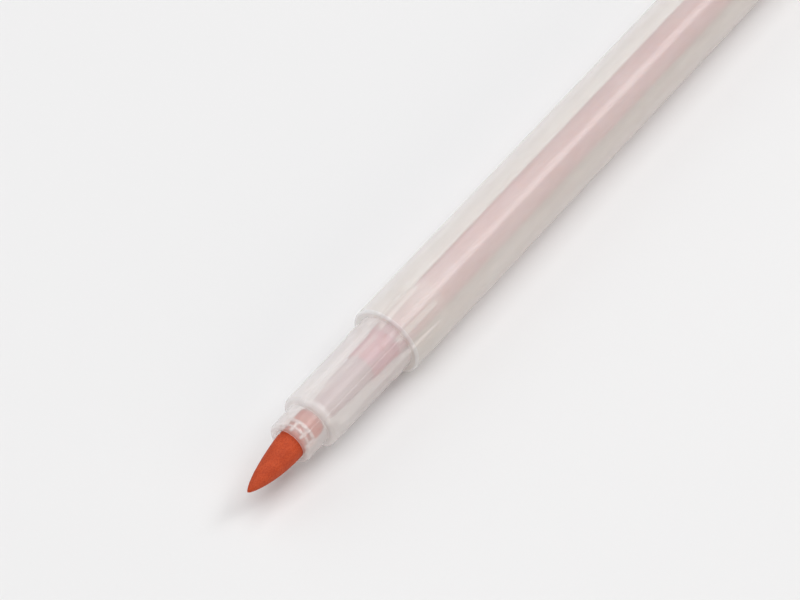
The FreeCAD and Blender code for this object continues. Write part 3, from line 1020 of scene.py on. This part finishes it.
class BRUSHPEN_OT_cap(bpy.types.Operator):
    """Make the cap's shell with its clip"""

    bl_idname = "brushpen.cap"
    bl_label = "Cap shell and clip"
    bl_options = {"REGISTER", "UNDO"}

    def execute(self, context):
        scene = context.scene
        sizes = scene.pen_cap
        front, rear = CAP_LOW.y + SEAM, CAP_HIGH.y
        bead = scene.pen_front
        groove = swelling(front + bead.bead_centre, bead.bead_length / 2, sizes.bore, sizes.groove)
        outline = [
            (front, BARREL_RADIUS, sizes.rim),
            (rear - SEAM, BARREL_RADIUS, FINE_EDGE),
            (rear - SEAM, sizes.bore),
            *reversed(groove),
            (front, sizes.bore, 0.1 * MM),
        ]
        shell = turned("cap_body", outline, ["frosted body", "frosted bore"], 144, sizes.bore + sizes.groove)
        clip = self.clip(sizes, rear)
        reach = sizes.bore - SEAM
        core = [(front - MM, 0), (front - MM, reach), (rear + MM, reach), (rear + MM, 0)]
        bore = turned("cap_hole", core, ["frosted bore"], 144)
        clip = united("cap_clip", clip, bore, "DIFFERENCE")
        piece = united("cap_outer", shell, clip)
        smooth_by(piece.data, 40)
        finish_piece(piece, "cap", "cap_shell")
        return {"FINISHED"}

    def clip(self, sizes, rear):
        """The clip as one swept bar: a round-cornered arm, a root in the cap's wall and a nose."""
        start = rear - sizes.clip_length
        top = BARREL_RADIUS + sizes.clip_gap + sizes.clip_thickness
        under = BARREL_RADIUS + sizes.clip_gap
        root_start = rear - sizes.clip_root
        flare_length = 1.2 * MM
        nose = start + sizes.nose_centre
        nose_high = BARREL_RADIUS + sizes.nose_gap + sizes.nose_radius
        turn = math.pi - self.lean(sizes, top)
        quarter = [math.pi / 2 * i / ROUND_STEPS for i in range(ROUND_STEPS + 1)]
        stations = [start + sizes.clip_rounding * (1 - math.cos(turned_by)) for turned_by in quarter]
        steps = 20
        stations += [nose - sizes.nose_radius * math.cos(math.pi * i / steps) for i in range(steps + 1)]
        stations += [nose + sizes.nose_radius + 1.5 * MM]
        stations += [root_start - flare_length + flare_length * i / 6 for i in range(7)]
        stations += [root_start + 0.01 * MM, rear - SEAM]
        rings = []
        for y in sorted(set(stations)):
            low = under
            off = y - nose
            if abs(off) < sizes.nose_radius:
                low = min(under, nose_high - math.sqrt(sizes.nose_radius**2 - off**2))
            flare = (y - (root_start - flare_length)) / flare_length
            if flare > 0:
                flare = min(1.0, flare)
                low = under - flare_length * (1 - math.sqrt(1 - flare * flare)) * 0.9
            if y > root_start:
                low = sizes.bore - MM
            from_end = (y - start) / sizes.clip_rounding
            pull = 0.0
            if from_end < 1:
                pull = sizes.clip_rounding * (1 - math.sqrt(1 - (1 - from_end) ** 2))
            half = sizes.clip_half_width - pull
            rings.append(self.clip_ring(y, low, top - pull, half, sizes.clip_rounding, turn))
        bm = bmesh.new()
        loops = [[bm.verts.new(p) for p in ring] for ring in rings]
        for low, high in zip(loops, loops[1:]):
            for j in range(len(low)):
                k = (j + 1) % len(low)
                bm.faces.new([low[j], low[k], high[k], high[j]]).smooth = True
        bm.faces.new(loops[0])
        bm.faces.new(loops[-1])
        bmesh.ops.recalc_face_normals(bm, faces=bm.faces)
        return object_from(bm, "cap_clip", ["frosted body"])

    def lean(self, sizes, top):
        """How far the clip leans from straight down, where its corner rests on the table."""
        out = top - sizes.clip_rounding
        across = sizes.clip_half_width - sizes.clip_rounding
        drop = BARREL_RADIUS - sizes.clip_rounding
        return math.atan2(across, out) + math.acos(drop / math.hypot(out, across))

    def clip_ring(self, y, low, top, half, rounding, turn):
        """One ring of the clip: square underneath and round-cornered on top."""
        corners = [(-half, low), (-half, top, rounding), (half, top, rounding), (half, low)]
        ring = []
        for across, out in rounded(corners):
            x = AXIS_X + across * math.cos(turn) + out * math.sin(turn)
            z = AXIS_Z - across * math.sin(turn) + out * math.cos(turn)
            ring.append(Vector((x, y, z)))
        return ring


class BRUSHPEN_OT_cap_seal(bpy.types.Operator):
    """Make the cup inside the cap that seals round the nozzle"""

    bl_idname = "brushpen.cap_seal"
    bl_label = "Cap seal"
    bl_options = {"REGISTER", "UNDO"}

    def execute(self, context):
        scene = context.scene
        sizes = scene.pen_cap
        front, rear = SEAL_LOW.y, SEAL_HIGH.y
        outer = sizes.bore - SEAM
        outline = [
            (front, sizes.skirt_bore + sizes.seal_chamfer, FINE_EDGE),
            (front, outer, 0.2 * MM),
            (rear, outer, 0.3 * MM),
            (rear, 0),
            (rear - sizes.seal_floor, 0),
            (rear - sizes.seal_floor, sizes.seal_bore, 0.4 * MM),
            (front + sizes.skirt + 0.2 * MM, sizes.seal_bore),
            (front + sizes.skirt, sizes.skirt_bore),
            (front + sizes.seal_chamfer, sizes.skirt_bore),
        ]
        piece = turned("cap_seal", outline, ["seal plastic", "seal plastic"], 96)
        finish_piece(piece, "cap", "cap_inner_seal")
        return {"FINISHED"}


class BRUSHPEN_OT_cap_end(bpy.types.Operator):
    """Make the coloured plug that closes the cap"""

    bl_idname = "brushpen.cap_end"
    bl_label = "Cap end plug"
    bl_options = {"REGISTER", "UNDO"}

    def execute(self, context):
        scene = context.scene
        sizes = scene.pen_cap
        stem, rear = PLUG_LOW.y, PLUG_HIGH.y
        head = rear - sizes.plug_head
        outer = sizes.bore - SEAM
        outline = [
            (stem, outer - sizes.plug_wall, 0.1 * MM),
            (stem, outer, 0.3 * MM),
            (head, outer),
            (head, BARREL_RADIUS, FINE_EDGE),
            (rear, BARREL_RADIUS, sizes.plug_rounding),
            (rear, 0.5 * MM, 0.05 * MM),
            (rear - 0.12 * MM, 0.42 * MM),
            (rear - 0.12 * MM, 0),
            (head, 0),
            (head, outer - sizes.plug_wall),
        ]
        piece = turned("cap_end", outline, ["ink plastic"], 144)
        finish_piece(piece, "cap", "cap_end_plug")
        return {"FINISHED"}


# ---------------------------------------------------------------- table, light and camera


class BRUSHPEN_OT_stage(bpy.types.Operator):
    """Make the table, the soft lights and the camera"""

    bl_idname = "brushpen.stage"
    bl_label = "Stage"
    bl_options = {"REGISTER", "UNDO"}

    def execute(self, context):
        scene = context.scene
        stage = scene.pen_stage
        self.make_table()
        self.make_lights(scene, stage)
        self.make_camera(scene, stage)
        scene.view_settings.view_transform = "Standard"
        scene.cycles.transparent_max_bounces = 32
        return {"FINISHED"}

    def make_table(self):
        bm = bmesh.new()
        bmesh.ops.create_grid(bm, x_segments=8, y_segments=8, size=TABLE_HALF_WIDTH)
        object_from(bm, "table", ["table top"])

    def make_lights(self, scene, stage):
        world = bpy.data.worlds.new("studio")
        world.use_nodes = True
        sky = world.node_tree.nodes["Background"]
        sky.inputs["Color"].default_value = (0.98, 0.99, 1.0, 1.0)
        sky.inputs["Strength"].default_value = stage.ambient
        scene.world = world
        self.softbox(scene, "strip light", stage.strip, (0.35, 0.52, 0.78), 0.9, (0.27, 0.55))
        self.softbox(scene, "panel light", stage.panel, (-0.05, -0.10, 0.98), 1.0, (0.74, 1.5))
        self.softbox(scene, "left fill light", stage.left_fill, (-0.80, -0.10, 0.55), 1.1, (0.8, 1.3))
        self.softbox(scene, "right fill light", stage.right_fill, (0.92, -0.20, 0.30), 1.1, (0.6, 1.3))
        bpy.data.lights["right fill light"].color = tuple(stage.warmth)

    def softbox(self, scene, name, watts, direction, distance, size):
        light = bpy.data.lights.new(name, "AREA")
        light.shape = "RECTANGLE"
        light.size, light.size_y = size
        light.energy = watts
        lamp = bpy.data.objects.new(name, light)
        target = Vector((AXIS_X, SHOULDER, AXIS_Z))
        way = Vector(direction).normalized()
        along = (Vector((0.0, 1.0, 0.0)) - way * way.y).normalized()
        lamp.location = target + way * distance
        lamp.rotation_euler = Matrix((along.cross(way), along, way)).transposed().to_euler()
        scene.collection.objects.link(lamp)

    def make_camera(self, scene, stage):
        turn, rise = stage.azimuth, stage.elevation
        back = Vector(
            (math.sin(turn) * math.cos(rise), -math.cos(turn) * math.cos(rise), math.sin(rise))
        )
        right = Vector((math.cos(turn), math.sin(turn), 0.0))
        up = back.cross(right)
        target = Vector((AXIS_X, SHOULDER, AXIS_Z)) + right * stage.aim_right + up * stage.aim_up
        data = bpy.data.cameras.new("camera")
        data.lens = stage.lens
        data.sensor_width = 36.0
        data.clip_start = 0.01
        data.clip_end = 20.0
        camera = bpy.data.objects.new("camera", data)
        camera.location = target + back * stage.distance
        camera.rotation_euler = (-back).to_track_quat("-Z", "Y").to_euler()
        scene.collection.objects.link(camera)
        scene.camera = camera


class BRUSHPEN_PT_panel(bpy.types.Panel):
    """Lists the pen's pieces and their sizes"""

    bl_idname = "BRUSHPEN_PT_panel"
    bl_label = "Brush pen"
    bl_space_type = "VIEW_3D"
    bl_region_type = "UI"
    bl_category = "Brush Pen"

    def draw(self, context):
        for operator in OPERATORS:
            self.layout.operator(operator.bl_idname)
        for name, group in PROPERTY_GROUPS.items():
            box = self.layout.box()
            box.label(text=group.__doc__)
            values = getattr(context.scene, name)
            for field in group.__annotations__:
                box.prop(values, field)


OPERATORS = (
    BRUSHPEN_OT_stage,
    BRUSHPEN_OT_barrel,
    BRUSHPEN_OT_front_section,
    BRUSHPEN_OT_nib_collar,
    BRUSHPEN_OT_brush_nib,
    BRUSHPEN_OT_reservoir,
    BRUSHPEN_OT_tail_plug,
    BRUSHPEN_OT_cap,
    BRUSHPEN_OT_cap_seal,
    BRUSHPEN_OT_cap_end,
)


def register():
    for group in PROPERTY_GROUPS.values():
        bpy.utils.register_class(group)
    for name, group in PROPERTY_GROUPS.items():
        setattr(bpy.types.Scene, name, bpy.props.PointerProperty(type=group))
    for operator in OPERATORS:
        bpy.utils.register_class(operator)
    bpy.utils.register_class(BRUSHPEN_PT_panel)


def unregister():
    bpy.utils.unregister_class(BRUSHPEN_PT_panel)
    for operator in reversed(OPERATORS):
        bpy.utils.unregister_class(operator)
    for name in PROPERTY_GROUPS:
        delattr(bpy.types.Scene, name)
    for group in reversed(list(PROPERTY_GROUPS.values())):
        bpy.utils.unregister_class(group)


def main():
    register()
    bpy.ops.brushpen.stage()
    bpy.ops.brushpen.barrel()
    bpy.ops.brushpen.front_section()
    bpy.ops.brushpen.nib_collar()
    bpy.ops.brushpen.brush_nib()
    bpy.ops.brushpen.reservoir()
    bpy.ops.brushpen.tail_plug()
    bpy.ops.brushpen.cap()
    bpy.ops.brushpen.cap_seal()
    bpy.ops.brushpen.cap_end()


if __name__ == "__main__":
    main()
